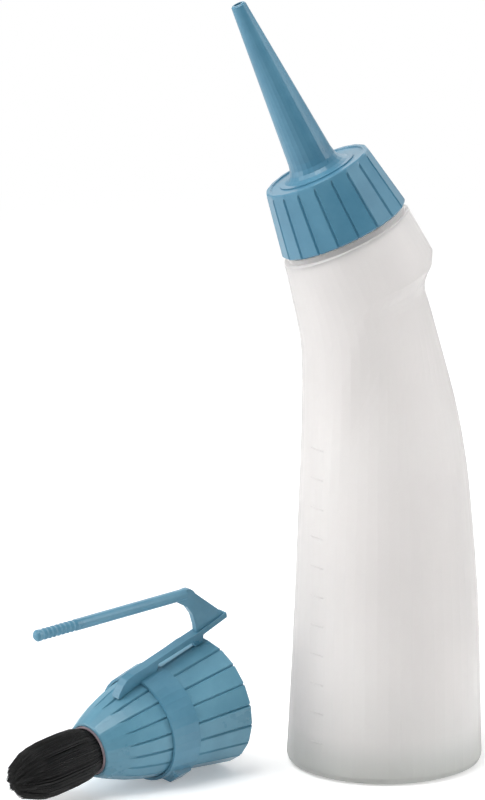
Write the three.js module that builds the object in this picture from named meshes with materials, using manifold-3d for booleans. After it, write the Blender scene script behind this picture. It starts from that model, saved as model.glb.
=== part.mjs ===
// Applicator bottle: a blown squeeze bottle with a bent neck, its screwed-on nozzle cap, and the brush cap
// that fits the same neck, lying beside it with its clip. Sizes in mm, +Z up, the camera looks along +Y.
import * as THREE from "three";
import { mergeVertices } from "three/addons/utils/BufferGeometryUtils.js";
import Module from "manifold-3d";

const wasm = await Module();
wasm.setup();

const DEG = Math.PI / 180;

// Sides of the round pieces.
const CAP_SIDES = 40;
const TUBE_SIDES = 28;

// Bottle body. Each station is a level of the side view with its left and right edge and half its depth.
const BODY_STATIONS = [
  { z: 0, left: -33.7, right: 33.6, depth: 33.8 },
  { z: 21, left: -32.6, right: 33.0, depth: 32.9 },
  { z: 57, left: -30.9, right: 32.0, depth: 31.7 },
  { z: 92, left: -29.6, right: 29.3, depth: 29.8 },
  { z: 110, left: -28.9, right: 27.2, depth: 28.2 },
  { z: 128, left: -28.5, right: 23.8, depth: 26.0 },
  { z: 148, left: -28.9, right: 18.5, depth: 24.9 },
  { z: 164, left: -31.9, right: 14.1, depth: 23.9 },
  { z: 178, left: -35.1, right: 9.4, depth: 23.0 },
  { z: 198, left: -42.0, right: 0.5, depth: 22.4 },
];
const BASE_CORNER = 2.4;
const STANDING_RING_INNER = 26.5;
const PUSH_UP = 4.0;
const WALL = 1.1;
const COLUMNS = 50;

// The middle line of the bottle: straight up, then bent towards the nozzle.
const SPINE_X = -1.0;
const BEND_START = 147.2;
const BEND_RADIUS = 54.4;
const LEAN = 24.7 * DEG;
const NECK_RUN = 19.9; // from the end of the bend to the cap's lower edge

// Collar under the cap, and the finger ledge where it ends.
const COLLAR_RADIUS = 22.5;
const COLLAR_FLARE = 0.082; // growth of the radius for each mm below the cap
const LEDGE_FOOT = 161.2; // along the spine, where the ledge starts to stand out at the right
const LEDGE_HEIGHT = 9.0;
const LEDGE_BOW = 2.2;
const LEDGE_TURN = 45 * DEG; // the brow keeps its height this far round
const COLLAR_BLEND = 0.8;

// Crease that runs from the ledge down the front and back, where the finger grip is pressed in.
const GRIP_STEP = 1.4; // how far the front stands proud of the finger grip
const GRIP_TOP = 150;
const GRIP_BOTTOM = 62;
const CREASE_TURN = 55 * DEG; // the crease leaves the ledge at this angle and is lowest at twice the angle
const CREASE_DROP = 62;
const CREASE_BOW = 3.2;
const CREASE_HEIGHT = 7.0;
const CREASE_REACH = 27; // radius on which the crease's slope is measured

// Neck finish and its thread, shared by both caps.
const SHOULDER_GAP = 0.5;
const SHOULDER_RING = 21.8;
const NECK_RADIUS = 15.2;
const NECK_WALL = 1.8;
const NECK_HEIGHT = 19.0;
const THREAD_PITCH = 5.0;
const THREAD_TURNS = 1.25;
const THREAD_DEPTH = 1.0;
const THREAD_WIDTH = 1.7;
const NECK_THREAD_START = 7.2; // above the cap's lower edge

// Caps: a conical grooved skirt with a threaded sleeve inside it.
const SKIRT_HEIGHT = 22.7;
const SKIRT_TOP = 18.9;
const SKIRT_BOTTOM = 23.1;
const SKIRT_WALL = 1.6;
const RIM_CHAMFER = 0.6;
const TOP_PLATE = 2.0;
const GROOVES = 19;
const GROOVE_DEPTH = 0.7;
const GROOVE_WIDTH = 1.1;
const SLEEVE_BORE = 16.9;
const SLEEVE_WALL = 1.3;
const SLEEVE_HEIGHT = 17.5;
const CAP_THREAD_START = NECK_THREAD_START - THREAD_PITCH / 2;
const SEAL_THICKNESS = 1.2;
const SEAL_OUTER = 16.6;
const SEAL_INNER = 12.6;
const SEAT_GAP = 0.2;

// Nozzle.
const NOZZLE_LENGTH = 63.6;
const NOZZLE_TIP = 2.65;
const NOZZLE_BASE = 8.4;
const NOZZLE_FLARE = 5.5;
const NOZZLE_TIP_BORE = 1.5;
const NOZZLE_BASE_BORE = 6.2;

// Brush cap, measured from its mouth, and the way it lies beside the bottle.
const NOSE_LENGTH = 32.4;
const MOUTH_RADIUS = 9.7;
const MOUTH_BORE = 8.9;
const NOSE_BORE = 12.0;
const FERRULE_FOOT = SKIRT_HEIGHT + 17; // above the cap's lower edge
const NOSE_GROOVE_START = 8.6;
const BRUSH_TURN = 42 * DEG;
const BRUSH_MOUTH = { x: -101.3, y: -42.4 };
const FERRULE_WALL = 0.5;
const FERRULE_OUT = 0.5;
const BRISTLE_LENGTH = 34.5;
const BRISTLE_RADIUS = 9.3;

// Clip on the brush cap, in the plane of its arm: t along the cap from its mouth, h out from its axis.
const CLIP_ROLL = -7 * DEG;
const BAND_START = 23.0;
const BAND_WIDTH = 10.4;
const BAND_THICKNESS = 1.0;
const CLIP_GAP = 0.25;
const STRAP_WIDTH = 3.4;
const GUSSET_THICKNESS = 2.0;
const ARM_RADIUS = 2.05;
const ARM_START = { t: 45.5, h: 43.4 };
const ARM_END = { t: -22.4, h: 51.7 };
const KNURL_LENGTH = 15.0;
const KNURL_PITCH = 2.0;
const KNURL_DEPTH = 0.25;
const TAB_ROLL = 222 * DEG; // from the arm, round the cap
const TAB_WIDTH = 7.5;
const TAB_HEIGHT = 1.6;
const TAB_FRONT = 27.0;

const BOTTLE_WHITE = new THREE.MeshStandardMaterial({
  color: 0xeae7e6,
  roughness: 0.45,
  metalness: 0,
  transparent: true,
  opacity: 0.85,
});
const CAP_BLUE = new THREE.MeshStandardMaterial({
  color: 0x76a9c2,
  roughness: 0.5,
  metalness: 0,
});
const SEAL_WHITE = new THREE.MeshStandardMaterial({
  color: 0xd9d8d4,
  roughness: 0.8,
  metalness: 0,
});
const FERRULE_GREY = new THREE.MeshStandardMaterial({
  color: 0xb9a9ac,
  roughness: 0.5,
  metalness: 0,
});
const BRISTLE_BLACK = new THREE.MeshStandardMaterial({
  color: 0x1c1c1e,
  roughness: 0.6,
  metalness: 0,
});

function mix(a, b, share) {
  return a + (b - a) * share;
}

function smooth(from, to, value) {
  const u = Math.min(1, Math.max(0, (value - from) / (to - from)));
  return u * u * (3 - 2 * u);
}

function solidOf(geometry) {
  const bare = geometry.clone();
  bare.deleteAttribute("normal");
  bare.deleteAttribute("uv");
  const merged = mergeVertices(bare, 1e-4);
  const solid = new wasm.Manifold(
    new wasm.Mesh({
      numProp: 3,
      vertProperties: merged.attributes.position.array,
      triVerts: new Uint32Array(merged.index.array),
    }),
  );
  return solid;
}

function geometryOf(solid) {
  const mesh = solid.getMesh();
  const positions = new Float32Array(mesh.numVert * 3);
  for (let i = 0; i < mesh.numVert; i++) {
    positions.set(mesh.vertProperties.subarray(i * mesh.numProp, i * mesh.numProp + 3), i * 3);
  }
  const geometry = new THREE.BufferGeometry();
  geometry.setAttribute("position", new THREE.BufferAttribute(positions, 3));
  geometry.setIndex(new THREE.BufferAttribute(mesh.triVerts, 1));
  geometry.computeVertexNormals();
  return geometry;
}

function named(name, solid, material) {
  const mesh = new THREE.Mesh(geometryOf(solid), material);
  mesh.name = name;
  return mesh;
}

// A skin through rows of points. Each row goes round anticlockwise seen from the last row; a row of one point
// is a pole. The rows run from the first cap to the last, and the ends are filled with a fan.
function skin(rows) {
  const positions = [];
  const index = [];
  const starts = rows.map((row) => {
    const start = positions.length / 3;
    row.forEach((p) => positions.push(p.x, p.y, p.z));
    return start;
  });
  for (let i = 0; i + 1 < rows.length; i++) {
    const a = rows[i];
    const b = rows[i + 1];
    const count = Math.max(a.length, b.length);
    for (let j = 0; j < count; j++) {
      const k = (j + 1) % count;
      const a0 = starts[i] + (a.length === 1 ? 0 : j);
      const a1 = starts[i] + (a.length === 1 ? 0 : k);
      const b0 = starts[i + 1] + (b.length === 1 ? 0 : j);
      const b1 = starts[i + 1] + (b.length === 1 ? 0 : k);
      if (a.length > 1) {
        index.push(a0, a1, b1);
      }
      if (b.length > 1) {
        index.push(a0, b1, b0);
      }
    }
  }
  const geometry = new THREE.BufferGeometry();
  geometry.setAttribute("position", new THREE.BufferAttribute(new Float32Array(positions), 3));
  geometry.setIndex(index);
  return geometry;
}

// A profile of [radius, height] corners turned round Z. It closes on itself, anticlockwise with the radius to
// the right and the height up.
function turned(profile, segments) {
  const points = profile.map(([r, h]) => new THREE.Vector2(Math.max(r, 0), h));
  const onAxis = profile[0][0] === 0 && profile[profile.length - 1][0] === 0;
  if (!onAxis) {
    points.push(points[0].clone());
  }
  return solidOf(new THREE.LatheGeometry(points, segments).rotateX(Math.PI / 2));
}

function extruded(points, thickness) {
  const shape = new THREE.Shape(points.map(([x, y]) => new THREE.Vector2(x, y)));
  const geometry = new THREE.ExtrudeGeometry(shape, { depth: thickness, bevelEnabled: false });
  geometry.translate(0, 0, -thickness / 2);
  return geometry;
}

function arcPoints(cx, cy, radius, from, to, steps) {
  const points = [];
  for (let i = 0; i <= steps; i++) {
    const a = mix(from, to, i / steps);
    points.push([cx + radius * Math.cos(a), cy + radius * Math.sin(a)]);
  }
  return points;
}

function cubicPoints(p0, p1, p2, p3, steps) {
  const curve = new THREE.CubicBezierCurve(
    new THREE.Vector2(...p0),
    new THREE.Vector2(...p1),
    new THREE.Vector2(...p2),
    new THREE.Vector2(...p3),
  );
  return curve.getPoints(steps).map((p) => [p.x, p.y]);
}

// The side view's edges and depth at a height, as a smooth curve through the stations.
function bodyAt(z) {
  const last = BODY_STATIONS.length - 1;
  let i = 0;
  while (i < last - 1 && BODY_STATIONS[i + 1].z < z) {
    i++;
  }
  const s0 = BODY_STATIONS[Math.max(i - 1, 0)];
  const s1 = BODY_STATIONS[i];
  const s2 = BODY_STATIONS[i + 1];
  const s3 = BODY_STATIONS[Math.min(i + 2, last)];
  const u = (z - s1.z) / (s2.z - s1.z);
  const at = (key) => {
    const m1 = ((s2[key] - s0[key]) / (s2.z - s0.z)) * (s2.z - s1.z);
    const m2 = ((s3[key] - s1[key]) / (s3.z - s1.z)) * (s2.z - s1.z);
    const d = s2[key] - s1[key];
    return s1[key] + u * (m1 + u * (3 * d - 2 * m1 - m2 + u * (m1 + m2 - 2 * d)));
  };
  const step = gripStep(z);
  return { left: at("left") + step, right: at("right"), depth: at("depth") - step };
}

// How far the skin outside the finger grip stands proud of it.
function gripStep(z) {
  return GRIP_STEP * smooth(GRIP_BOTTOM, GRIP_TOP, z);
}

function greater(a, b, blend) {
  return (a + b + Math.sqrt((a - b) ** 2 + blend ** 2)) / 2;
}

const BEND_END = BEND_START + BEND_RADIUS * LEAN;
const CAP_EDGE = BEND_END + NECK_RUN;
const BEND_CENTRE = SPINE_X - BEND_RADIUS;

// Centre and lean of the section at a distance along the spine.
function spineAt(t) {
  const lean = Math.min(Math.max((t - BEND_START) / BEND_RADIUS, 0), LEAN);
  const centre = new THREE.Vector3(SPINE_X, 0, Math.min(t, BEND_START));
  if (t > BEND_START) {
    centre.x = BEND_CENTRE + BEND_RADIUS * Math.cos(lean);
    centre.z = BEND_START + BEND_RADIUS * Math.sin(lean);
  }
  if (t > BEND_END) {
    centre.x -= (t - BEND_END) * Math.sin(LEAN);
    centre.z += (t - BEND_END) * Math.cos(LEAN);
  }
  return { centre, lean };
}

const NECK_SEAT = spineAt(CAP_EDGE).centre;
const NECK_AXIS = new THREE.Vector3(-Math.sin(LEAN), 0, Math.cos(LEAN));

// Direction from the spine at an angle round it: 0 is to the right, 90 degrees to the front.
function outward(lean, angle) {
  return new THREE.Vector3(
    Math.cos(angle) * Math.cos(lean),
    -Math.sin(angle),
    Math.cos(angle) * Math.sin(lean),
  );
}

// Distance along a ray to the surface where the given measure of a point crosses zero.
function reach(centre, direction, measure) {
  let near = 1;
  let far = 60;
  for (let i = 0; i < 26; i++) {
    const middle = (near + far) / 2;
    const p = centre.clone().addScaledVector(direction, middle);
    if (measure(p) < 0) {
      near = middle;
    } else {
      far = middle;
    }
  }
  return (near + far) / 2;
}

function bodyMeasure(p) {
  const { left, right, depth } = bodyAt(p.z);
  const middle = (left + right) / 2;
  const half = (right - left) / 2;
  return Math.hypot((p.x - middle) / half, p.y / depth) - 1;
}

function collarMeasure(p) {
  const fromSeat = p.clone().sub(NECK_SEAT);
  const along = fromSeat.dot(NECK_AXIS);
  const away = fromSeat.addScaledVector(NECK_AXIS, -along).length();
  return away - (COLLAR_RADIUS - COLLAR_FLARE * along);
}

// Where the step of the finger grip starts, going up the column at this angle. It runs level under the ledge
// and drops down the front of the body.
function gripFoot(angle) {
  const beyond = Math.max(angle - CREASE_TURN, 0) / CREASE_TURN;
  return LEDGE_FOOT - CREASE_DROP * beyond ** CREASE_BOW;
}

// Height over which the step rises. Where the crease runs steeply up the column, the step is drawn out.
function gripRise(angle) {
  const level = mix(LEDGE_HEIGHT, CREASE_HEIGHT, Math.min(angle / LEDGE_TURN, 1));
  const beyond = Math.max(angle - CREASE_TURN, 0) / CREASE_TURN;
  const drop = CREASE_DROP * CREASE_BOW * beyond ** (CREASE_BOW - 1);
  return level * Math.hypot(1, drop / CREASE_TURN / CREASE_REACH);
}

// Share of the step at a height: it leaves the body gently and ends in the ledge's sharp brow.
function gripShare(foot, rise, t) {
  return Math.min(Math.max((t - foot) / rise, 0), 1) ** LEDGE_BOW;
}

function bottleRadius(t, angle) {
  const round = Math.abs(angle > Math.PI ? angle - 2 * Math.PI : angle);
  const { centre, lean } = spineAt(t);
  const direction = outward(lean, angle);
  const body = reach(centre, direction, bodyMeasure);
  if (t < GRIP_BOTTOM) {
    return body;
  }
  const proud = body + gripStep(t);
  const collar = t > GRIP_TOP ? reach(centre, direction, collarMeasure) : proud;
  const both = greater(proud, collar, COLLAR_BLEND);
  const full = mix(proud, both, smooth(GRIP_TOP, LEDGE_FOOT, t));
  return mix(body, full, gripShare(gripFoot(round), gripRise(round), t));
}

function bottleRow(t, columns, inset) {
  const { centre, lean } = spineAt(t);
  return columns.map((angle) =>
    centre.clone().addScaledVector(outward(lean, angle), bottleRadius(t, angle) - inset),
  );
}

function baseRow(z, radius, columns) {
  return columns.map(
    (angle) => new THREE.Vector3(radius * Math.cos(angle), -radius * Math.sin(angle), z),
  );
}

// Ring round the neck's axis at a height above the cap's lower edge.
function neckRow(height, radius, columns) {
  const { centre, lean } = spineAt(CAP_EDGE + height);
  return columns.map((angle) => centre.clone().addScaledVector(outward(lean, angle), radius));
}

function steps(from, to, count) {
  return Array.from({ length: count + 1 }, (_, i) => mix(from, to, i / count));
}

function bottleSkin() {
  const columns = steps(2 * Math.PI, 0, COLUMNS).slice(0, COLUMNS);
  const rows = [];
  const lowest = bodyAt(0).right;
  rows.push([new THREE.Vector3(0, 0, PUSH_UP)]);
  rows.push(baseRow(PUSH_UP * 0.86, 13, columns));
  rows.push(baseRow(PUSH_UP * 0.45, 21, columns));
  rows.push(baseRow(0, STANDING_RING_INNER, columns));
  rows.push(baseRow(0, lowest - BASE_CORNER, columns));
  const corner = Math.SQRT1_2;
  rows.push(
    baseRow(BASE_CORNER * (1 - corner), lowest - BASE_CORNER * (1 - corner), columns),
  );
  const outerLevels = [
    ...steps(BASE_CORNER, 60, 5),
    ...steps(69, 145, 10),
    ...steps(149, LEDGE_FOOT - 2, 4),
    ...steps(LEDGE_FOOT, CAP_EDGE - 12, 9),
    CAP_EDGE - 7,
    CAP_EDGE - 2.6,
  ];
  outerLevels.forEach((t) => rows.push(bottleRow(t, columns, 0)));
  rows.push(neckRow(-2.3, SHOULDER_RING, columns));
  rows.push(neckRow(-SHOULDER_GAP, SHOULDER_RING, columns));
  rows.push(neckRow(-SHOULDER_GAP, NECK_RADIUS, columns));
  rows.push(neckRow(NECK_HEIGHT - 0.4, NECK_RADIUS, columns));
  rows.push(neckRow(NECK_HEIGHT, NECK_RADIUS - 0.4, columns));
  rows.push(neckRow(NECK_HEIGHT, NECK_RADIUS - NECK_WALL, columns));
  rows.push(neckRow(-1.5, NECK_RADIUS - NECK_WALL, columns));
  rows.push(neckRow(-4.2, SHOULDER_RING - 2.2, columns));
  const innerLevels = [
    ...steps(CAP_EDGE - 9, LEDGE_FOOT - 4, 4),
    ...steps(146, BASE_CORNER + 4, 7),
  ];
  innerLevels.forEach((t) => rows.push(bottleRow(t, columns, WALL)));
  rows.push(baseRow(WALL + 1.0, lowest - WALL - 2.2, columns));
  rows.push(baseRow(WALL, STANDING_RING_INNER - 0.5, columns));
  rows.push(baseRow(PUSH_UP * 0.45 + WALL, 20.5, columns));
  rows.push(baseRow(PUSH_UP * 0.86 + WALL, 12.5, columns));
  rows.push([new THREE.Vector3(0, 0, PUSH_UP + WALL)]);
  return solidOf(skin(rows));
}

// A bead wound round Z as a screw thread. Its root is at the given radius and its crest stands out by depth,
// inwards if depth is negative. Both ends run out into the root.
function threadBead(radius, depth, startHeight, turns, sink) {
  const perTurn = 24;
  const count = Math.round(perTurn * turns);
  const rows = [];
  const half = THREAD_WIDTH / 2;
  for (let i = 0; i <= count; i++) {
    const angle = (2 * Math.PI * i) / perTurn;
    const height = startHeight + (THREAD_PITCH * i) / perTurn;
    const fade = Math.min(1, i / 3, (count - i) / 3);
    const crest = radius + depth * fade;
    const root = radius - sink;
    const section = [
      [root, height - half],
      [crest, height - half * 0.45],
      [crest, height + half * 0.45],
      [root, height + half],
    ];
    const ordered = depth < 0 ? section : section.reverse();
    rows.push(
      ordered.map(([r, z]) => new THREE.Vector3(r * Math.cos(angle), r * Math.sin(angle), z)),
    );
  }
  const centreOf = (row) =>
    row.reduce((sum, p) => sum.add(p), new THREE.Vector3()).multiplyScalar(1 / row.length);
  rows.unshift([centreOf(rows[0])]);
  rows.push([centreOf(rows[rows.length - 1])]);
  return skin(rows);
}

function ontoNeck(geometry) {
  return geometry
    .applyMatrix4(new THREE.Matrix4().makeRotationY(-LEAN))
    .translate(NECK_SEAT.x, NECK_SEAT.y, NECK_SEAT.z);
}

function bottle() {
  const bead = ontoNeck(
    threadBead(NECK_RADIUS, THREAD_DEPTH, NECK_THREAD_START, THREAD_TURNS, 0.4),
  );
  return bottleSkin().add(solidOf(bead));
}

// The caps are drawn standing on their lower edge round Z.

// A round body with V grooves. The profile lists [radius, height, groove share] from the bottom to the top.
function grooved(profile) {
  const rows = profile.map(([radius, height, share]) => {
    const row = [];
    for (let i = 0; i < GROOVES; i++) {
      const middle = (2 * Math.PI * i) / GROOVES;
      const half = GROOVE_WIDTH / 2 / radius;
      row.push([middle - half, radius]);
      row.push([middle, radius - GROOVE_DEPTH * share]);
      row.push([middle + half, radius]);
    }
    return row.map(
      ([a, r]) => new THREE.Vector3(r * Math.cos(a), r * Math.sin(a), height),
    );
  });
  const bottom = profile[0][1];
  const top = profile[profile.length - 1][1];
  rows.unshift([new THREE.Vector3(0, 0, bottom)]);
  rows.push([new THREE.Vector3(0, 0, top)]);
  return solidOf(skin(rows));
}

function skirtProfile() {
  const slope = (SKIRT_BOTTOM - SKIRT_TOP) / SKIRT_HEIGHT;
  return [
    [SKIRT_BOTTOM - 0.5, 0, 1],
    [SKIRT_BOTTOM - slope * RIM_CHAMFER, RIM_CHAMFER, 1],
    [SKIRT_TOP + slope * 2.4, SKIRT_HEIGHT - 2.4, 1],
    [SKIRT_TOP + slope * 1.2, SKIRT_HEIGHT - 1.2, 0],
    [SKIRT_TOP, SKIRT_HEIGHT - 0.3, 0],
    [SKIRT_TOP - 0.4, SKIRT_HEIGHT, 0],
  ];
}

// The room inside a cap: the sleeve's bore up to the top plate, and the pocket between sleeve and skirt.
function capRoom() {
  const slope = (SKIRT_BOTTOM - SKIRT_TOP) / SKIRT_HEIGHT;
  const plate = SKIRT_HEIGHT - TOP_PLATE;
  const sleeveOuter = SLEEVE_BORE + SLEEVE_WALL;
  const sleeveFoot = plate - SLEEVE_HEIGHT;
  const pocketTop = (SKIRT_BOTTOM - SKIRT_WALL - sleeveOuter - 0.6) / slope;
  return turned(
    [
      [0, -1],
      [SKIRT_BOTTOM - SKIRT_WALL + slope, -1],
      [sleeveOuter + 0.6, pocketTop],
      [sleeveOuter, pocketTop],
      [sleeveOuter, sleeveFoot],
      [SLEEVE_BORE, sleeveFoot],
      [SLEEVE_BORE, plate],
      [0, plate],
    ],
    CAP_SIDES,
  );
}

function capThread() {
  return solidOf(threadBead(SLEEVE_BORE, -THREAD_DEPTH, CAP_THREAD_START, 1, -0.4));
}

function nozzleSolid() {
  const tip = SKIRT_HEIGHT + NOZZLE_LENGTH;
  const foot = SKIRT_HEIGHT - 0.8;
  const slope = (NOZZLE_BASE - NOZZLE_TIP) / NOZZLE_LENGTH;
  const flareTop = SKIRT_HEIGHT + NOZZLE_FLARE;
  const flareRadius = NOZZLE_BASE - slope * NOZZLE_FLARE;
  const flare = cubicPoints(
    [NOZZLE_BASE + NOZZLE_FLARE, SKIRT_HEIGHT - 0.3],
    [NOZZLE_BASE + NOZZLE_FLARE * 0.3, SKIRT_HEIGHT - 0.2],
    [NOZZLE_BASE, SKIRT_HEIGHT + NOZZLE_FLARE * 0.3],
    [flareRadius, flareTop],
    5,
  );
  return turned(
    [
      [0, foot],
      [NOZZLE_BASE + NOZZLE_FLARE, foot],
      ...flare,
      [NOZZLE_TIP, tip - 0.5],
      [NOZZLE_TIP - 0.5, tip],
      [0, tip],
    ],
    TUBE_SIDES,
  );
}

function nozzleBore() {
  const tip = SKIRT_HEIGHT + NOZZLE_LENGTH;
  const plate = SKIRT_HEIGHT - TOP_PLATE;
  return turned(
    [
      [0, plate - 1],
      [NOZZLE_BASE_BORE, plate - 1],
      [NOZZLE_BASE_BORE, SKIRT_HEIGHT],
      [NOZZLE_TIP_BORE, tip - 6],
      [NOZZLE_TIP_BORE, tip + 1],
      [0, tip + 1],
    ],
    TUBE_SIDES,
  );
}

// The cap's top is a shallow dish round the nozzle's flare.
function topDish() {
  const rim = SKIRT_TOP - 1.3;
  return turned(
    [
      [NOZZLE_BASE + NOZZLE_FLARE - 0.2, SKIRT_HEIGHT - 0.4],
      [rim - 0.6, SKIRT_HEIGHT - 0.4],
      [rim, SKIRT_HEIGHT + 0.5],
      [NOZZLE_BASE + NOZZLE_FLARE - 0.2, SKIRT_HEIGHT + 0.5],
    ],
    CAP_SIDES,
  );
}

function nozzleCap() {
  const shell = grooved(skirtProfile()).subtract(topDish()).add(nozzleSolid());
  return shell.subtract(capRoom()).subtract(nozzleBore()).add(capThread());
}

function seal() {
  const top = SKIRT_HEIGHT - TOP_PLATE - SEAT_GAP;
  return turned(
    [
      [SEAL_INNER, top - SEAL_THICKNESS],
      [SEAL_OUTER, top - SEAL_THICKNESS],
      [SEAL_OUTER, top],
      [SEAL_INNER, top],
    ],
    TUBE_SIDES,
  );
}

// Outline of the nose: from the skirt's top edge in a long bow to the mouth.
function nosePoints(count) {
  const mouth = SKIRT_HEIGHT + NOSE_LENGTH;
  return cubicPoints(
    [SKIRT_TOP, SKIRT_HEIGHT],
    [SKIRT_TOP - 1.1, SKIRT_HEIGHT + 11],
    [SKIRT_TOP - 3.7, mouth - 10.5],
    [MOUTH_RADIUS, mouth],
    count,
  );
}

function brushCap() {
  const mouth = SKIRT_HEIGHT + NOSE_LENGTH;
  const skirt = skirtProfile().slice(0, 2);
  const grooveEnd = mouth - NOSE_GROOVE_START;
  const nose = nosePoints(9).map(([r, h]) => [r, h, h < grooveEnd - 1 ? 1 : 0]);
  const lip = nose.pop();
  const lipEdge = [
    [lip[0] + 0.1, lip[1] - 0.3, 0],
    [lip[0] - 0.3, lip[1], 0],
  ];
  const shell = grooved([...skirt, ...nose, ...lipEdge]);
  const bore = turned(
    [
      [0, SKIRT_HEIGHT - TOP_PLATE - 1],
      [NOSE_BORE, SKIRT_HEIGHT - TOP_PLATE - 1],
      [NOSE_BORE, SKIRT_HEIGHT + 8],
      [MOUTH_BORE, FERRULE_FOOT - 1],
      [MOUTH_BORE, mouth + 1],
      [0, mouth + 1],
    ],
    TUBE_SIDES,
  );
  return shell.subtract(capRoom()).subtract(bore).add(capThread());
}

function ferrule() {
  const mouth = SKIRT_HEIGHT + NOSE_LENGTH;
  const outer = MOUTH_BORE - 0.25;
  const inner = outer - FERRULE_WALL;
  return turned(
    [
      [inner, FERRULE_FOOT],
      [outer, FERRULE_FOOT],
      [outer, mouth + FERRULE_OUT],
      [inner, mouth + FERRULE_OUT],
    ],
    TUBE_SIDES,
  );
}

// The bundle swells out of the ferrule and ends in a blunt, uneven dome.
function bristles() {
  const mouth = SKIRT_HEIGHT + NOSE_LENGTH;
  const root = MOUTH_BORE - 0.25 - FERRULE_WALL - 0.25;
  const tip = mouth + BRISTLE_LENGTH;
  const tufts = 36;
  const levels = [
    [root, mouth - 12, 0],
    [root, mouth + 1.2, 0],
    [BRISTLE_RADIUS - 0.6, mouth + 5, 1],
    [BRISTLE_RADIUS, mouth + 12, 1],
    [BRISTLE_RADIUS + 0.2, mouth + 20, 1],
    [BRISTLE_RADIUS - 0.4, tip - 7, 1],
    [BRISTLE_RADIUS - 2.2, tip - 3, 1],
    [BRISTLE_RADIUS - 5.0, tip - 0.8, 1],
  ];
  const rows = levels.map(([radius, height, share]) =>
    steps(0, 2 * Math.PI, tufts)
      .slice(0, tufts)
      .map((a, i) => {
        const r = radius + share * (i % 2 ? -0.35 : 0.25) + share * 0.25 * Math.sin(5 * a);
        return new THREE.Vector3(r * Math.cos(a), r * Math.sin(a), height);
      }),
  );
  rows.unshift([new THREE.Vector3(0, 0, levels[0][1])]);
  rows.push([new THREE.Vector3(0, 0, tip)]);
  return solidOf(skin(rows));
}

// The clip is drawn with X along the cap from its mouth, Y out to the arm and Z across.

// Outline of the brush cap grown by a little, as [radius, distance from the mouth].
function capOutline(grow) {
  const rim = SKIRT_HEIGHT + NOSE_LENGTH;
  const points = [[SKIRT_BOTTOM, 0], ...nosePoints(18)];
  return points.map(([r, h]) => [r + grow, rim - h]);
}

function outlineRadius(t) {
  const points = capOutline(0);
  const i = points.findIndex(([, distance]) => distance <= t);
  const [r0, t0] = points[i - 1];
  const [r1, t1] = points[i];
  return mix(r0, r1, (t - t0) / (t1 - t0));
}

function capEnvelope() {
  const outline = capOutline(CLIP_GAP).map(([r, t]) => [r, -t]);
  const [radius, rim] = outline[0];
  return turned([[0, rim - 10], [radius, rim - 10], ...outline, [0, 0]], CAP_SIDES);
}

function band() {
  const levels = steps(BAND_START + BAND_WIDTH, BAND_START, 2);
  const inner = levels.map((t) => [outlineRadius(t) + CLIP_GAP, -t]);
  const outer = inner.map(([r, h]) => [r + BAND_THICKNESS, h]);
  return turned([...outer, ...inner.reverse()], CAP_SIDES);
}

// Turns a solid of the cap (round Z, mouth up) and of the clip (X along, Y out) into one frame.
function clipSide(geometry) {
  const turn = new THREE.Matrix4().makeBasis(
    new THREE.Vector3(0, 0, -1),
    new THREE.Vector3(1, 0, 0),
    new THREE.Vector3(0, -1, 0),
  );
  return geometry.applyMatrix4(turn);
}

// Strap from the fin ahead of the band to the corner past the skirt's middle, over and under.
function strapPoints() {
  return [
    [12.8, 15.6],
    [13.6, 17.4],
    [15.2, 19.5],
    [17.2, 21.2],
    [19.9, 22.2],
    [25.0, 22.9],
    [50.2, 27.7],
    [63.0, 30.7],
    [63.4, 28.8],
    [48.8, 25.1],
    [31.4, 22.3],
    [30.6, 19.4],
    [23.5, 17.6],
    [17.0, 15.2],
  ];
}

function gussetPoints() {
  const [outerStart, outerEnd] = [[62.6, 30.3], [49.6, 42.6]];
  const crown = arcPoints(ARM_START.t, ARM_START.h - 2.4, ARM_RADIUS + 2.3, 40 * DEG, 95 * DEG, 4);
  return [
    outerStart,
    outerEnd,
    ...crown,
    [40.5, 42.8],
    [42.7, 40.9],
    [45.8, 38.7],
    [48.3, 34.7],
    [49.5, 30.5],
    [49.9, 26.8],
  ];
}

// Web between the strap and the skirt, under the gusset.
function webPoints() {
  return [
    [49.4, 21.4],
    [52.8, 22.0],
    [53.0, 27.4],
    [48.6, 26.4],
  ];
}

// The arm's profile from its root: plain, then ringed near the end, and a rounded tip.
function armProfile(length) {
  const rings = [];
  const count = Math.round(KNURL_LENGTH / KNURL_PITCH);
  for (let i = 0; i < count; i++) {
    const height = length - 2.2 - (count - i) * KNURL_PITCH;
    rings.push([ARM_RADIUS, height]);
    rings.push([ARM_RADIUS - KNURL_DEPTH, height + KNURL_PITCH / 2]);
  }
  return [
    [0, 0],
    [ARM_RADIUS, 0],
    ...rings,
    [ARM_RADIUS, length - 2.2],
    [ARM_RADIUS, length - 1.0],
    [ARM_RADIUS - 0.7, length - 0.2],
    [ARM_RADIUS - 1.4, length],
    [0, length],
  ];
}

function arm() {
  const start = new THREE.Vector3(ARM_START.t, ARM_START.h, 0);
  const end = new THREE.Vector3(ARM_END.t, ARM_END.h, 0);
  const direction = end.clone().sub(start).normalize();
  const points = armProfile(start.distanceTo(end)).map(([r, h]) => new THREE.Vector2(r, h));
  const geometry = new THREE.LatheGeometry(points, 14);
  const turn = new THREE.Quaternion().setFromUnitVectors(new THREE.Vector3(0, 1, 0), direction);
  return geometry.applyQuaternion(turn).translate(start.x, start.y, start.z);
}

function tab() {
  const foot = outlineRadius(BAND_START + BAND_WIDTH) + CLIP_GAP;
  const top = foot + TAB_HEIGHT;
  const outline = [
    [TAB_FRONT - 2.6, foot - 1.0],
    [TAB_FRONT + 6.0, foot - 1.0],
    [TAB_FRONT + 4.8, top],
    [TAB_FRONT, top],
  ];
  const turn = new THREE.Matrix4().makeRotationZ(TAB_ROLL);
  return clipSide(extruded(outline, TAB_WIDTH)).applyMatrix4(turn);
}

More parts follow.
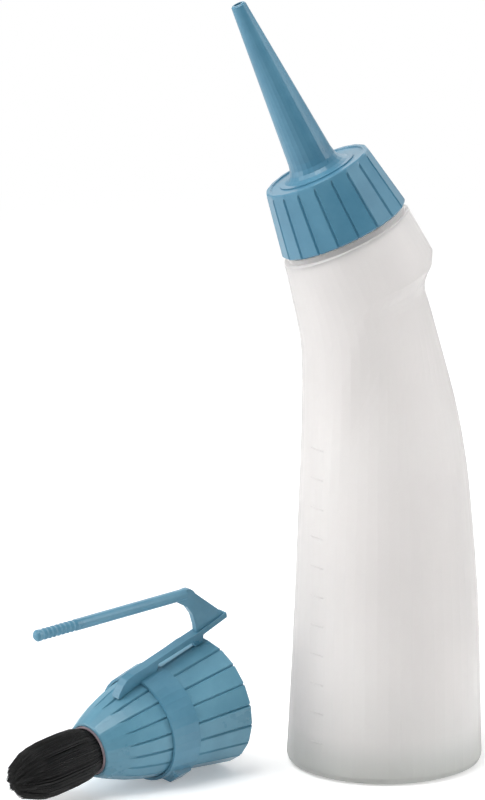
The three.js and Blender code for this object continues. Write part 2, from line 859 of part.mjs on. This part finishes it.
function clip() {
  const side = (geometry) => solidOf(clipSide(geometry));
  const cap = capEnvelope();
  let whole = side(extruded(strapPoints(), STRAP_WIDTH)).subtract(cap);
  whole = whole.add(side(extruded(gussetPoints(), GUSSET_THICKNESS)));
  whole = whole.add(side(arm()));
  whole = whole.add(side(extruded(webPoints(), GUSSET_THICKNESS)).subtract(cap));
  whole = whole.add(solidOf(tab()).subtract(cap));
  return whole.add(band());
}

// The brush cap lies on its rim and on the lower corner of the clip's tab, which tips its mouth down.
function lyingTilt() {
  const off = TAB_ROLL + CLIP_ROLL - Math.PI;
  const tabRadius = outlineRadius(BAND_START + BAND_WIDTH) + CLIP_GAP + TAB_HEIGHT;
  const reachDown = tabRadius * Math.cos(off) + (TAB_WIDTH / 2) * Math.sin(off);
  const rim = SKIRT_HEIGHT + NOSE_LENGTH - RIM_CHAMFER;
  return Math.atan2(SKIRT_BOTTOM - reachDown, rim - TAB_FRONT);
}

// The cap stands with its mouth up round Z; this lays it down with its mouth to the front left.
function lieDown(mesh) {
  const tilt = lyingTilt();
  const along = new THREE.Vector3(
    Math.cos(tilt) * Math.cos(BRUSH_TURN),
    Math.cos(tilt) * Math.sin(BRUSH_TURN),
    Math.sin(tilt),
  );
  const back = new THREE.Vector3(-Math.sin(BRUSH_TURN), Math.cos(BRUSH_TURN), 0);
  const up = new THREE.Vector3().crossVectors(along, back);
  const roll = new THREE.Matrix4().makeRotationZ(CLIP_ROLL);
  const frame = new THREE.Matrix4().makeBasis(up, back, along.clone().negate());
  mesh.geometry.applyMatrix4(frame.multiply(roll));
  return mesh;
}

// Sets the lying pieces down at their place, on the surface the bottle stands on.
function setDown(meshes) {
  const lowest = Math.min(
    ...meshes.map((mesh) => {
      mesh.geometry.computeBoundingBox();
      return mesh.geometry.boundingBox.min.z;
    }),
  );
  meshes.forEach((mesh) => mesh.geometry.translate(BRUSH_MOUTH.x, BRUSH_MOUTH.y, -lowest));
}

// From the cap's own height (lower edge at 0) to heights counted down from its mouth.
function fromMouth(solid) {
  const geometry = geometryOf(solid);
  geometry.translate(0, 0, -(SKIRT_HEIGHT + NOSE_LENGTH));
  return solidOf(geometry);
}

function onNeck(mesh) {
  ontoNeck(mesh.geometry);
  return mesh;
}

const group = new THREE.Group();
group.add(named("bottle", bottle(), BOTTLE_WHITE));
group.add(onNeck(named("nozzle_cap", nozzleCap(), CAP_BLUE)));
group.add(onNeck(named("nozzle_seal", seal(), SEAL_WHITE)));

const lying = [
  named("brush_cap", fromMouth(brushCap()), CAP_BLUE),
  named("brush_seal", fromMouth(seal()), SEAL_WHITE),
  named("bristle_ferrule", fromMouth(ferrule()), FERRULE_GREY),
  named("bristles", fromMouth(bristles()), BRISTLE_BLACK),
  named("clip", clip(), CAP_BLUE),
];
lying.forEach(lieDown);
setDown(lying);
group.add(...lying);

// The origin is the middle of the whole set's footprint, on the surface it stands on.
const extent = new THREE.Box3().setFromObject(group);
const middle = extent.getCenter(new THREE.Vector3());
group.children.forEach((mesh) => mesh.geometry.translate(-middle.x, -middle.y, -extent.min.z));

export default group;
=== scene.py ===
# Looks of the applicator bottle: the translucent bottle, both caps, the clip and the brush cap's bristles.
# Metres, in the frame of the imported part. The camera stands where the photograph was taken from.
import math
import random

import bmesh
import bpy
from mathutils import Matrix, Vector
from mathutils.bvhtree import BVHTree


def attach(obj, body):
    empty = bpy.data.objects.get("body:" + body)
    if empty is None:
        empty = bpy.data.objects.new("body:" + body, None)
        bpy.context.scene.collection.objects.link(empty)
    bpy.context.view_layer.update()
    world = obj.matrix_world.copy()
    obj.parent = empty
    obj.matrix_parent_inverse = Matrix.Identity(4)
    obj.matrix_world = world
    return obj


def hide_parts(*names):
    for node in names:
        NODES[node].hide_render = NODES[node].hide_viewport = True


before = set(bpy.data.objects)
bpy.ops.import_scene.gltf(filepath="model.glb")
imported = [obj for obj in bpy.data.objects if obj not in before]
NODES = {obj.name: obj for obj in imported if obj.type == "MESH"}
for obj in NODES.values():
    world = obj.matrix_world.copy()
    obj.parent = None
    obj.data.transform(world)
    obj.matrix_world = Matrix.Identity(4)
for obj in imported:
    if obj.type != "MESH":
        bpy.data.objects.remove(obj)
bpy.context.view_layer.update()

MM = 0.001

# The photograph's view: level turn 0, looking down a little, and nearly without perspective.
LOOK_DOWN = math.radians(15.5)
LENS = 500.0
SENSOR = 36.0
FRAME_HEIGHT = 0.2730
FAR_CLIP = 50.0
AIM = Vector((-0.0008, 0.0175, 0.1276))


def place_camera():
    data = bpy.data.cameras.new("camera")
    data.lens = LENS
    data.sensor_width = SENSOR
    data.sensor_fit = "AUTO"
    data.clip_end = FAR_CLIP
    distance = FRAME_HEIGHT * LENS / SENSOR
    towards = Vector((0.0, math.cos(LOOK_DOWN), -math.sin(LOOK_DOWN)))
    camera = bpy.data.objects.new("camera", data)
    camera.location = AIM - towards * distance
    camera.rotation_euler = towards.to_track_quat("-Z", "Y").to_euler()
    bpy.context.scene.collection.objects.link(camera)
    bpy.context.scene.camera = camera


class Nodes:
    """Small helper that adds and links shader nodes."""

    def __init__(self, name):
        self.material = bpy.data.materials.new(name)
        self.material.use_nodes = True
        self.tree = self.material.node_tree
        self.tree.nodes.clear()
        self.output = self.add("ShaderNodeOutputMaterial")
        self.shader = self.add("ShaderNodeBsdfPrincipled")
        self.link(self.shader, "BSDF", self.output, "Surface")

    def add(self, kind, **settings):
        node = self.tree.nodes.new(kind)
        for key, value in settings.items():
            if hasattr(node, key):
                setattr(node, key, value)
            else:
                node.inputs[key].default_value = value
        return node

    def link(self, source, output, target, socket):
        self.tree.links.new(source.outputs[output], target.inputs[socket])

    def set(self, **values):
        for key, value in values.items():
            self.shader.inputs[key.replace("_", " ")].default_value = value

    def place(self):
        return self.add("ShaderNodeTexCoord")

    def noise(self, place, scale, detail=4.0, roughness=0.5):
        node = self.add("ShaderNodeTexNoise")
        node.inputs["Scale"].default_value = scale
        node.inputs["Detail"].default_value = detail
        node.inputs["Roughness"].default_value = roughness
        self.link(place, "Object", node, "Vector")
        return node

    def ramp(self, source, output, stops):
        node = self.add("ShaderNodeValToRGB")
        ramp = node.color_ramp
        while len(ramp.elements) < len(stops):
            ramp.elements.new(0.5)
        for element, (position, colour) in zip(ramp.elements, stops):
            element.position = position
            element.color = (*colour, 1.0)
        self.link(source, output, node, "Fac")
        return node

    def bump(self, source, output, strength, distance, normal=None):
        node = self.add("ShaderNodeBump")
        node.inputs["Strength"].default_value = strength
        node.inputs["Distance"].default_value = distance
        self.link(source, output, node, "Height")
        if normal is not None:
            self.link(normal, "Normal", node, "Normal")
        return node


def linear(red, green, blue):
    """A colour as it is seen on screen, 0 to 255, as the linear one that shaders use."""
    def channel(value):
        share = value / 255.0
        return share / 12.92 if share <= 0.04045 else ((share + 0.055) / 1.055) ** 2.4
    return channel(red), channel(green), channel(blue)


def roughness_from(nodes, source, low, high):
    node = nodes.add("ShaderNodeMapRange")
    node.inputs["From Min"].default_value = 0.3
    node.inputs["From Max"].default_value = 0.7
    node.inputs["To Min"].default_value = low
    node.inputs["To Max"].default_value = high
    nodes.link(source, "Fac", node, "Value")
    nodes.link(node, "Result", nodes.shader, "Roughness")


def milky_plastic():
    """Blown polyethylene: milky, soft gloss, faint streaks down the wall, and painted shade over the
    lowest 15 mm, where the push-up of the bottom shows through the wall.
    """
    nodes = Nodes("milky_plastic")
    place = nodes.place()
    cloud = nodes.noise(place, 22.0, 3.0)
    colour = nodes.ramp(cloud, "Fac", [
        (0.30, linear(243, 241, 240)),
        (0.55, linear(247, 245, 244)),
        (0.75, linear(250, 249, 248)),
    ])
    # Painted shade: the colour darkens over the lowest 15 mm, where the push-up of the bottom shows
    # through the wall.
    parts = nodes.add("ShaderNodeSeparateXYZ")
    nodes.link(place, "Object", parts, "Vector")
    painted_bottom_shade = nodes.ramp(parts, "Z", [
        (0.001, linear(234, 237, 235)),
        (0.008, linear(241, 243, 242)),
        (0.015, linear(255, 255, 255)),
    ])
    bottom_shade_multiply = nodes.add("ShaderNodeMix", data_type="RGBA", blend_type="MULTIPLY")
    bottom_shade_multiply.inputs[0].default_value = 1.0
    nodes.tree.links.new(colour.outputs["Color"], bottom_shade_multiply.inputs[6])
    nodes.tree.links.new(painted_bottom_shade.outputs["Color"], bottom_shade_multiply.inputs[7])
    nodes.tree.links.new(bottom_shade_multiply.outputs[2], nodes.shader.inputs["Base Color"])
    fine = nodes.noise(place, 900.0, 3.0)
    stretch = nodes.add("ShaderNodeMapping")
    stretch.inputs["Scale"].default_value = (1.0, 1.0, 0.12)
    nodes.link(place, "Object", stretch, "Vector")
    streaks = nodes.add("ShaderNodeTexNoise")
    streaks.inputs["Scale"].default_value = 140.0
    nodes.link(stretch, "Vector", streaks, "Vector")
    first = nodes.bump(streaks, "Fac", 0.12, 0.0004)
    second = nodes.bump(fine, "Fac", 0.10, 0.0001, first)
    nodes.link(second, "Normal", nodes.shader, "Normal")
    roughness_from(nodes, cloud, 0.42, 0.52)
    nodes.set(IOR=1.3, Transmission_Weight=0.6)
    return nodes.material


def blue_plastic(name, tones):
    """Moulded coloured plastic: satin, a little uneven in tone, with a fine tool finish."""
    nodes = Nodes(name)
    place = nodes.place()
    cloud = nodes.noise(place, 60.0, 5.0, 0.6)
    colour = nodes.ramp(cloud, "Fac", [
        (0.25, linear(*tones[0])),
        (0.50, linear(*tones[1])),
        (0.78, linear(*tones[2])),
    ])
    nodes.link(colour, "Color", nodes.shader, "Base Color")
    fine = nodes.noise(place, 1400.0, 2.0)
    waves = nodes.noise(place, 180.0, 2.0)
    first = nodes.bump(waves, "Fac", 0.10, 0.0003)
    second = nodes.bump(fine, "Fac", 0.14, 0.00008, first)
    nodes.link(second, "Normal", nodes.shader, "Normal")
    roughness_from(nodes, cloud, 0.26, 0.38)
    nodes.set(IOR=1.48)
    return nodes.material


def seal_foam():
    nodes = Nodes("seal_foam")
    place = nodes.place()
    cells = nodes.add("ShaderNodeTexVoronoi")
    cells.inputs["Scale"].default_value = 1800.0
    nodes.link(place, "Object", cells, "Vector")
    colour = nodes.ramp(cells, "Distance", [
        (0.0, linear(196, 195, 190)),
        (0.6, linear(222, 221, 216)),
    ])
    nodes.link(colour, "Color", nodes.shader, "Base Color")
    bump = nodes.bump(cells, "Distance", 0.5, 0.0001)
    nodes.link(bump, "Normal", nodes.shader, "Normal")
    nodes.set(Roughness=0.85)
    return nodes.material


def ferrule_plastic():
    nodes = Nodes("ferrule_plastic")
    place = nodes.place()
    cloud = nodes.noise(place, 300.0, 4.0)
    colour = nodes.ramp(cloud, "Fac", [
        (0.3, linear(150, 134, 142)),
        (0.7, linear(176, 160, 166)),
    ])
    nodes.link(colour, "Color", nodes.shader, "Base Color")
    bump = nodes.bump(cloud, "Fac", 0.15, 0.0001)
    nodes.link(bump, "Normal", nodes.shader, "Normal")
    roughness_from(nodes, cloud, 0.40, 0.55)
    return nodes.material


def bristle_nylon():
    """Black filaments: each a little different in tone, with a dull sheen."""
    nodes = Nodes("bristle_nylon")
    place = nodes.place()
    cloud = nodes.noise(place, 700.0, 3.0)
    colour = nodes.ramp(cloud, "Fac", [
        (0.30, linear(3, 3, 4)),
        (0.55, linear(7, 7, 8)),
        (0.80, linear(18, 18, 19)),
    ])
    nodes.link(colour, "Color", nodes.shader, "Base Color")
    bump = nodes.bump(cloud, "Fac", 0.3, 0.0001)
    nodes.link(bump, "Normal", nodes.shader, "Normal")
    roughness_from(nodes, cloud, 0.38, 0.58)
    return nodes.material


def wear(node_name, material):
    data = NODES[node_name].data
    data.materials.clear()
    data.materials.append(material)


# The brush cap's own line, found from its seal and the ferrule.
def brush_line():
    """Middle of the ferrule's mouth and the direction in which the bristles point."""
    points = [v.co.copy() for v in NODES["bristle_ferrule"].data.vertices]
    middle = sum(points, Vector()) / len(points)
    seal = [v.co.copy() for v in NODES["brush_seal"].data.vertices]
    back = sum(seal, Vector()) / len(seal)
    direction = (middle - back).normalized()
    furthest = max((p - middle).dot(direction) for p in points)
    return middle + direction * furthest, direction


BRISTLES = 2400
BUNDLE_ROOT = 7.7 * MM
BUNDLE_RADIUS = 9.4 * MM
BUNDLE_LENGTH = 33.6 * MM
BRISTLE_THICKNESS = 0.34 * MM
BRISTLE_SIDES = 4
BRISTLE_STEPS = 6
BRISTLE_SEED = 7
BRISTLE_TIP = 0.45  # share of the thickness that is left at the end
BRISTLE_BEND = 0.55 * MM
BUNDLE_SUNK = 1.0 * MM
BUNDLE_CLOSE = 2.4 * MM
SWELL_SHARE = 0.22
CLOSE_SHARE = 0.72
GOLDEN_ANGLE = 2.399963  # spreads the filaments evenly over the bundle
DOME = 0.93
SIDE_LENGTH = 0.78


def bundle_radius(share):
    """The bundle leaves the mouth narrow, swells, and closes a little at its end."""
    swell = min(1.0, share / SWELL_SHARE)
    swell = swell * swell * (3 - 2 * swell)
    close = max(0.0, share - CLOSE_SHARE) / (1.0 - CLOSE_SHARE)
    return BUNDLE_ROOT + (BUNDLE_RADIUS - BUNDLE_ROOT) * swell - BUNDLE_CLOSE * close * close


def make_bristles():
    rng = random.Random(BRISTLE_SEED)
    mouth, direction = brush_line()
    side = direction.cross(Vector((0, 0, 1))).normalized()
    up = side.cross(direction).normalized()
    vertices = []
    faces = []
    for i in range(BRISTLES):
        ring = math.sqrt((i + 0.5) / BRISTLES)
        angle = i * GOLDEN_ANGLE + rng.uniform(-0.05, 0.05)
        clump = math.sin(angle * 9.0 + 3.0 * ring) * 0.5 + math.sin(angle * 23.0) * 0.3
        dome = math.sqrt(max(0.0, 1.0 - (DOME * ring) ** 2))
        uneven = 1.0 + 0.022 * clump + rng.uniform(-0.045, 0.012)
        length = BUNDLE_LENGTH * (SIDE_LENGTH + (1.0 - SIDE_LENGTH) * dome) * uneven
        bend_angle = rng.uniform(0, 2 * math.pi)
        bend = rng.uniform(0.0, 1.0) * BRISTLE_BEND
        thickness = BRISTLE_THICKNESS * rng.uniform(0.75, 1.15)
        first = len(vertices)
        for step in range(BRISTLE_STEPS + 1):
            share = step / BRISTLE_STEPS
            along = -BUNDLE_SUNK + (length + BUNDLE_SUNK) * share
            outer = bundle_radius(share) * (1.0 + 0.018 * clump * share)
            radius = outer * ring
            wander = bend * math.sin(share * math.pi) + 0.25 * bend * share
            centre = (
                mouth
                + direction * along
                + side * (math.cos(angle) * radius + math.cos(bend_angle) * wander)
                + up * (math.sin(angle) * radius + math.sin(bend_angle) * wander)
            )
            half = thickness / 2 * (1.0 if step < BRISTLE_STEPS else BRISTLE_TIP)
            for k in range(BRISTLE_SIDES):
                turn = 2 * math.pi * k / BRISTLE_SIDES + angle
                vertices.append(centre + side * (math.cos(turn) * half) + up * (math.sin(turn) * half))
        for step in range(BRISTLE_STEPS):
            for k in range(BRISTLE_SIDES):
                a = first + step * BRISTLE_SIDES + k
                b = first + step * BRISTLE_SIDES + (k + 1) % BRISTLE_SIDES
                faces.append((a, b, b + BRISTLE_SIDES, a + BRISTLE_SIDES))
        top = first + BRISTLE_STEPS * BRISTLE_SIDES
        faces.append(tuple(top + k for k in range(BRISTLE_SIDES)))
    mesh = bpy.data.meshes.new("bristle_filaments")
    mesh.from_pydata(vertices, [], faces)
    mesh.update()
    mesh.polygons.foreach_set("use_smooth", [True] * len(mesh.polygons))
    piece = bpy.data.objects.new("bristle_filaments", mesh)
    bpy.context.scene.collection.objects.link(piece)
    piece.data.materials.append(BRISTLE)
    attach(piece, "bottle_body")
    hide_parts("bristles")


MARKS = 11
MARK_FIRST = 0.0125
MARK_SPACING = 0.0102
MARK_STEPS = 6
MARK_LEFT = -0.0256
MARK_WIDTH = 0.0042
MARK_HEIGHT = 0.00055
MARK_PROUD = 0.00022
MARK_SUNK = -0.0002
# Across a mark: the share of its height, and whether that edge stands proud of the skin.
MARK_PROFILE = [(-0.5, False), (-0.28, True), (0.28, True), (0.5, False)]
BOTTLE_MIDDLE = Vector((0.0480, 0.0175, 0.0))


def mark_bar(mesh, tree, level):
    """One raised mark of the scale, laid on the skin of the bottle at a level."""
    rings = []
    for i in range(MARK_STEPS + 1):
        x = BOTTLE_MIDDLE.x + MARK_LEFT + MARK_WIDTH * i / MARK_STEPS
        hit, _, _, _ = tree.ray_cast(Vector((x, -0.3, level)), Vector((0, 1, 0)))
        if hit is None:
            return
        out = Vector((hit.x - BOTTLE_MIDDLE.x, hit.y - BOTTLE_MIDDLE.y, 0)).normalized()
        proud = MARK_PROUD if 0 < i < MARK_STEPS else 0.0
        ring = [
            mesh.verts.new(hit + Vector((0, 0, MARK_HEIGHT * up)) + out * (proud if raised else MARK_SUNK))
            for up, raised in MARK_PROFILE
        ]
        rings.append(ring)
    for a, b in zip(rings, rings[1:]):
        for k in range(4):
            mesh.faces.new((a[k], b[k], b[(k + 1) % 4], a[(k + 1) % 4]))
    mesh.faces.new(rings[0])
    mesh.faces.new(list(reversed(rings[-1])))


def make_marks():
    """The faint raised scale down the front of the bottle."""
    tree = BVHTree.FromObject(NODES["bottle"], bpy.context.evaluated_depsgraph_get())
    work = bmesh.new()
    for i in range(MARKS):
        mark_bar(work, tree, MARK_FIRST + MARK_SPACING * i)
    bmesh.ops.recalc_face_normals(work, faces=work.faces)
    mesh = bpy.data.meshes.new("scale_marks")
    work.to_mesh(mesh)
    work.free()
    mesh.polygons.foreach_set("use_smooth", [True] * len(mesh.polygons))
    piece = bpy.data.objects.new("scale_marks", mesh)
    bpy.context.scene.collection.objects.link(piece)
    piece.data.materials.append(MILKY)
    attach(piece, "bottle_body")


FLOOR_SIZE = 6.0
FLOOR_LEVEL = -0.0002
FLOOR_WHITE = 0.90
FLOOR_GLOW = 0.10
FLOOR_GLOW_SEEN = 0.30
SHADOW_REACH = 0.35
ALL_WHITE_REACH = 0.80


def paper():
    """White studio paper: it keeps the shadow near the object, and is seen evenly white further away."""
    nodes = Nodes("floor_paper")
    nodes.set(Base_Color=(FLOOR_WHITE, FLOOR_WHITE, FLOOR_WHITE, 1.0), Roughness=0.9)
    nodes.shader.inputs["Emission Color"].default_value = (1.0, 1.0, 1.0, 1.0)
    path = nodes.add("ShaderNodeLightPath")
    seen = nodes.add("ShaderNodeMath", operation="MAXIMUM")
    nodes.link(path, "Is Camera Ray", seen, 0)
    nodes.link(path, "Is Transmission Ray", seen, 1)
    seen_too = nodes.add("ShaderNodeMath", operation="MAXIMUM")
    nodes.link(seen, "Value", seen_too, 0)
    nodes.link(path, "Is Glossy Ray", seen_too, 1)
    glow = nodes.add("ShaderNodeMapRange")
    glow.inputs["To Min"].default_value = FLOOR_GLOW
    glow.inputs["To Max"].default_value = FLOOR_GLOW_SEEN
    nodes.link(seen_too, "Value", glow, "Value")
    nodes.link(glow, "Result", nodes.shader, "Emission Strength")
    reach = nodes.add("ShaderNodeVectorMath", operation="LENGTH")
    nodes.link(nodes.place(), "Object", reach, 0)
    far = nodes.add("ShaderNodeMapRange", interpolation_type="SMOOTHSTEP")
    far.inputs["From Min"].default_value = SHADOW_REACH
    far.inputs["From Max"].default_value = ALL_WHITE_REACH
    nodes.link(reach, "Value", far, "Value")
    share = nodes.add("ShaderNodeMath", operation="MULTIPLY")
    nodes.link(far, "Result", share, 0)
    nodes.link(seen_too, "Value", share, 1)
    white = nodes.add("ShaderNodeEmission")
    mix = nodes.add("ShaderNodeMixShader")
    nodes.link(share, "Value", mix, "Fac")
    nodes.link(nodes.shader, "BSDF", mix, 1)
    nodes.link(white, "Emission", mix, 2)
    nodes.link(mix, "Shader", nodes.output, "Surface")
    return nodes.material


def make_floor():
    bpy.ops.mesh.primitive_plane_add(size=FLOOR_SIZE, location=(0, 0, FLOOR_LEVEL))
    floor = bpy.context.object
    floor.name = "floor"
    floor.data.materials.append(paper())


# Name, place, size and power of each lamp.
LAMPS = [
    ("left", (-1.25, -0.10, 0.55), (0.7, 1.2), 9.2),
    ("right", (1.25, 0.05, 0.50), (0.6, 1.2), 7.4),
    ("top", (-0.35, -0.35, 1.30), (0.7, 0.7), 11.0),
    ("back", (0.25, 1.20, 0.70), (1.2, 0.8), 4.0),
]
LAMPS_AIM = Vector((0.0, 0.0, 0.12))


def make_light(name, location, size, power):
    data = bpy.data.lights.new(name, "AREA")
    data.shape = "RECTANGLE"
    data.size = size[0]
    data.size_y = size[1]
    data.energy = power
    lamp = bpy.data.objects.new(name, data)
    lamp.location = location
    towards = LAMPS_AIM - lamp.location
    lamp.rotation_euler = towards.to_track_quat("-Z", "Y").to_euler()
    bpy.context.scene.collection.objects.link(lamp)


# The studio's light grows from the camera's side, at -Y, to the far side.
WORLD_FROM = -0.9
WORLD_TO = 0.3
WORLD_DIM = 0.10
WORLD_BRIGHT = 0.48


def make_world():
    world = bpy.data.worlds.new("studio")
    bpy.context.scene.world = world
    world.use_nodes = True
    tree = world.node_tree
    tree.nodes.clear()
    output = tree.nodes.new("ShaderNodeOutputWorld")
    soft = tree.nodes.new("ShaderNodeBackground")
    soft.inputs["Color"].default_value = (1, 1, 1, 1)
    place = tree.nodes.new("ShaderNodeTexCoord")
    parts = tree.nodes.new("ShaderNodeSeparateXYZ")
    level = tree.nodes.new("ShaderNodeMapRange")
    level.inputs["From Min"].default_value = WORLD_FROM
    level.inputs["From Max"].default_value = WORLD_TO
    level.inputs["To Min"].default_value = WORLD_DIM
    level.inputs["To Max"].default_value = WORLD_BRIGHT
    tree.links.new(place.outputs["Generated"], parts.inputs["Vector"])
    tree.links.new(parts.outputs["Y"], level.inputs["Value"])
    tree.links.new(level.outputs["Result"], soft.inputs["Strength"])
    white = tree.nodes.new("ShaderNodeBackground")
    white.inputs["Color"].default_value = (1, 1, 1, 1)
    white.inputs["Strength"].default_value = 1.0
    path = tree.nodes.new("ShaderNodeLightPath")
    mix = tree.nodes.new("ShaderNodeMixShader")
    seen = tree.nodes.new("ShaderNodeMath")
    seen.operation = "MAXIMUM"
    tree.links.new(path.outputs["Is Camera Ray"], seen.inputs[0])
    tree.links.new(path.outputs["Is Transmission Ray"], seen.inputs[1])
    tree.links.new(seen.outputs["Value"], mix.inputs["Fac"])
    tree.links.new(soft.outputs["Background"], mix.inputs[1])
    tree.links.new(white.outputs["Background"], mix.inputs[2])
    tree.links.new(mix.outputs["Shader"], output.inputs["Surface"])


place_camera()
MILKY = milky_plastic()
CAP_BLUE = blue_plastic("cap_blue", [(70, 122, 148), (78, 131, 157), (90, 143, 168)])
BRUSH_BLUE = blue_plastic("brush_blue", [(90, 144, 167), (100, 154, 177), (113, 166, 188)])
CLIP_BLUE = blue_plastic("clip_blue", [(78, 132, 157), (87, 141, 166), (99, 152, 176)])
SEAL = seal_foam()
FERRULE = ferrule_plastic()
BRISTLE = bristle_nylon()
wear("bottle", MILKY)
wear("nozzle_cap", CAP_BLUE)
wear("brush_cap", BRUSH_BLUE)
wear("clip", CLIP_BLUE)
wear("nozzle_seal", SEAL)
wear("brush_seal", SEAL)
wear("bristle_ferrule", FERRULE)
make_bristles()
make_marks()
make_floor()
for lamp in LAMPS:
    make_light(*lamp)
make_world()
bpy.context.scene.view_settings.view_transform = "Standard"
